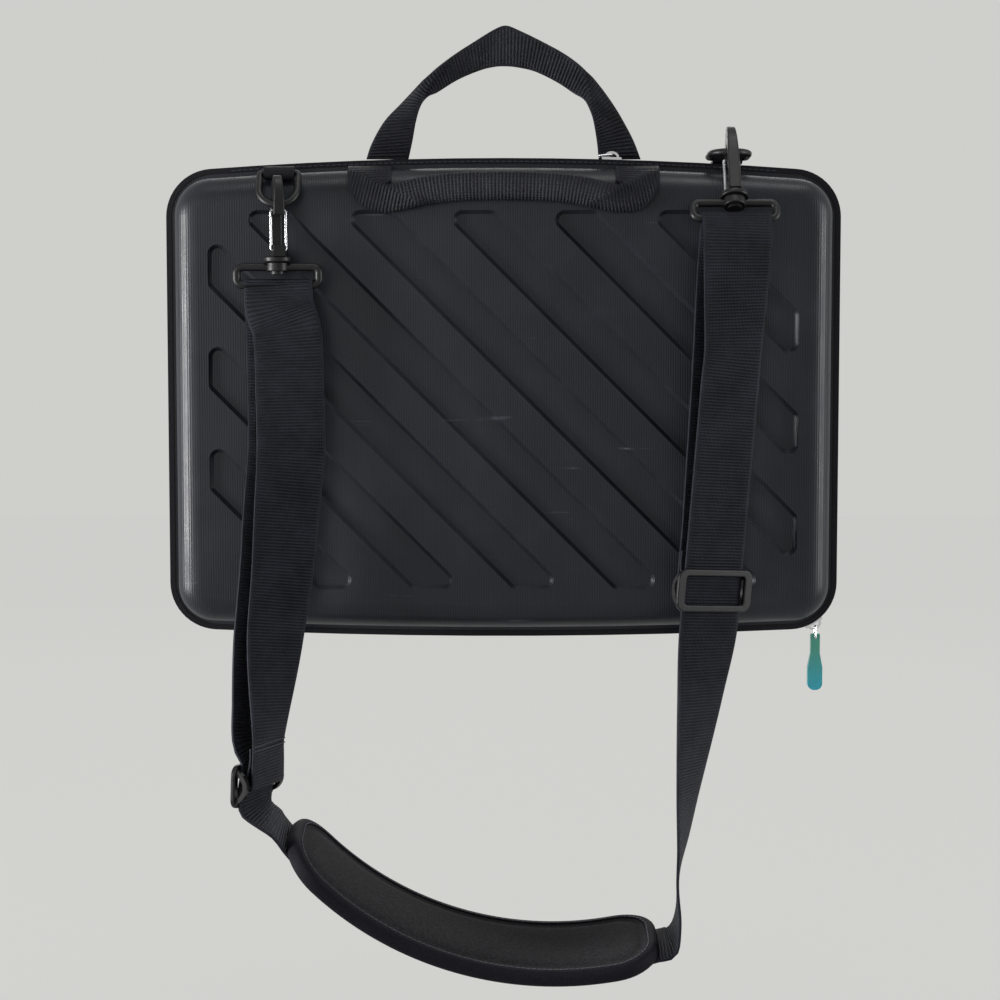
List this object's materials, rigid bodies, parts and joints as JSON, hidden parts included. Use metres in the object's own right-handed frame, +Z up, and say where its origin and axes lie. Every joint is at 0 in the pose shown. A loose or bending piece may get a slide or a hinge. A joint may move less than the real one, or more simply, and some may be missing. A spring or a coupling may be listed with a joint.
{
  "type": "laptop hard case",
  "caption": "Moulded laptop case with two ribbed half shells, perimeter zip, two carry handles, a clip-on shoulder strap with pad, hanging from its rear handle.",
  "frame": {"origin": "inner edge of the rear handle's top, where it hangs on a peg", "axes": "+Z up, +X to the right seen from the front, +Y from the front half to the rear half"},
  "size_m": [0.38, 0.1149, 0.5269],
  "materials": {
    "shell_cloth": "smooth laminated polyester over moulded foam",
    "lining": "brushed tricot",
    "zip_tape": "woven tape",
    "zip_coil": "nylon coil",
    "binding": "woven binding",
    "webbing": "ribbed nylon webbing",
    "black_hardware": "black plated, satin",
    "gate_wire": "black nickel wire",
    "slider_metal": "bright",
    "pull_rubber": "soft moulded",
    "pad_felt": "felted grip cloth",
    "pad_cloth": "woven nylon",
    "pad_binding": "woven binding tape",
    "elastic": "woven elastic",
    "mesh": "knitted mesh"
  },
  "bodies": {
    "rear_handle": {"rear_handle": "webbing"},
    "rear_half": {"rear_shell": "shell_cloth", "rear_lining": "lining", "rear_zip_tape": "zip_tape", "rear_zip_coil": "zip_coil", "rear_binding": "binding", "spine_tape": "binding", "rear_handle_foot_left": "webbing", "rear_handle_foot_right": "webbing", "right_ring": "black_hardware", "right_ring_tab": "webbing", "elastic_top_left": "elastic", "elastic_top_right": "elastic", "elastic_bottom_left": "elastic", "elastic_bottom_right": "elastic"},
    "front_half": {"front_shell": "shell_cloth", "front_lining": "lining", "front_zip_tape": "zip_tape", "front_zip_coil": "zip_coil", "front_binding": "binding", "front_handle_foot_left": "webbing", "front_handle_foot_right": "webbing", "left_ring": "black_hardware", "left_ring_tab": "webbing", "lid_pocket": "mesh", "pocket_hem": "elastic"},
    "top_slider": {"top_slider": "slider_metal"},
    "top_pull": {"top_link": "slider_metal"},
    "corner_slider": {"corner_slider": "slider_metal"},
    "corner_link": {"corner_link": "slider_metal"},
    "corner_pull": {"corner_pull": "pull_rubber"},
    "front_handle": {"front_handle": "webbing"},
    "strap": {"left_strap": "webbing", "right_strap": "webbing", "pad_webbing": "webbing", "left_wrap": "webbing", "right_wrap": "webbing", "left_bail": "black_hardware", "right_bail": "black_hardware", "left_strap_return": "webbing", "right_strap_return": "webbing", "left_triglide": "black_hardware", "left_strap_end": "webbing"},
    "left_hook": {"left_hook": "black_hardware"},
    "left_gate": {"left_gate": "gate_wire"},
    "right_hook": {"right_hook": "black_hardware"},
    "right_gate": {"right_gate": "gate_wire"},
    "right_glide": {"right_triglide": "black_hardware", "right_strap_end": "webbing"},
    "shoulder_pad": {"pad_core": "pad_cloth", "pad_felt": "pad_felt", "pad_base": "pad_cloth", "pad_binding": "pad_binding", "left_keeper": "webbing", "right_keeper": "webbing"}
  },
  "joints": [
    {"name": "rear_handle_swing", "type": "hinge", "parent": "rear_handle", "child": "rear_half", "pos_m": [0, 0.0069, -0.05085], "axis": [1, 0, 0], "range_deg": [-30, 100]},
    {"name": "lid_open", "type": "hinge", "parent": "rear_half", "child": "front_half", "pos_m": [0, 0, -0.322], "axis": [1, 0, 0], "range_deg": [0, 95], "deforming": ["spine_tape"]},
    {"name": "top_slider_run", "type": "hinge", "parent": "rear_half", "child": "top_slider", "pos_m": [0, 0, -2.3015], "axis": [0, 1, 0], "range_deg": [-5.2, 1.1]},
    {"name": "top_pull_swing", "type": "hinge", "parent": "top_slider", "child": "top_pull", "pos_m": [0.06108, 0, -0.04924], "axis": [0, 1, 0], "range_deg": [0, 185]},
    {"name": "corner_slider_run", "type": "hinge", "parent": "rear_half", "child": "corner_slider", "pos_m": [0.163, 0, -0.29128], "axis": [0, 1, 0], "range_deg": [-40, 12]},
    {"name": "corner_link_swing", "type": "hinge", "parent": "corner_slider", "child": "corner_link", "pos_m": [0.17894, 0, -0.3168], "axis": [0, 1, 0], "range_deg": [-30, 10]},
    {"name": "corner_pull_swing", "type": "hinge", "parent": "corner_link", "child": "corner_pull", "pos_m": [0.17894, 0, -0.3238], "axis": [0, 1, 0], "range_deg": [-30, 10]},
    {"name": "front_handle_lift", "type": "hinge", "parent": "front_half", "child": "front_handle", "pos_m": [0, -0.00836, -0.05717], "axis": [1, 0, 0], "range_deg": [-90, 0]},
    {"name": "strap_swing", "type": "hinge", "parent": "front_half", "child": "strap", "pos_m": [-0.124, -0.03764, -0.07989], "axis": [0.9915, 0.0526, 0.1194], "range_deg": [-18, 0]},
    {"name": "left_hook_swivel", "type": "hinge", "parent": "strap", "child": "left_hook", "pos_m": [-0.124, -0.03764, -0.10829], "axis": [0, 0, 1], "range_deg": [-25, 0]},
    {"name": "left_gate_open", "type": "hinge", "parent": "left_hook", "child": "left_gate", "pos_m": [-0.12284, -0.0423, -0.10489], "axis": [0.9703, 0.2419, 0], "range_deg": [-14, 0], "stiffness_Nm_per_rad": 0.02, "springref_deg": 11.46},
    {"name": "right_hook_swivel", "type": "hinge", "parent": "strap", "child": "right_hook", "pos_m": [0.126, -0.03836, -0.0745], "axis": [0, 0.4924, 0.8704], "range_deg": [-11, 11]},
    {"name": "right_gate_open", "type": "hinge", "parent": "right_hook", "child": "right_gate", "pos_m": [0.126, -0.03251, -0.07391], "axis": [-1, 0, 0], "range_deg": [-14, 0], "stiffness_Nm_per_rad": 0.02, "springref_deg": 11.46},
    {"name": "right_glide_slide", "type": "slide", "parent": "strap", "child": "right_glide", "axis": [0.0797, -0.0075, 0.9968], "range_m": [-0.01, 0.09], "deforming": ["right_strap_return"]},
    {"name": "pad_slide", "type": "hinge", "parent": "strap", "child": "shoulder_pad", "pos_m": [0.028, -0.0773, -0.3192], "axis": [0, 0.9842, 0.1771], "range_deg": [-1, 1.5]}
  ]
}
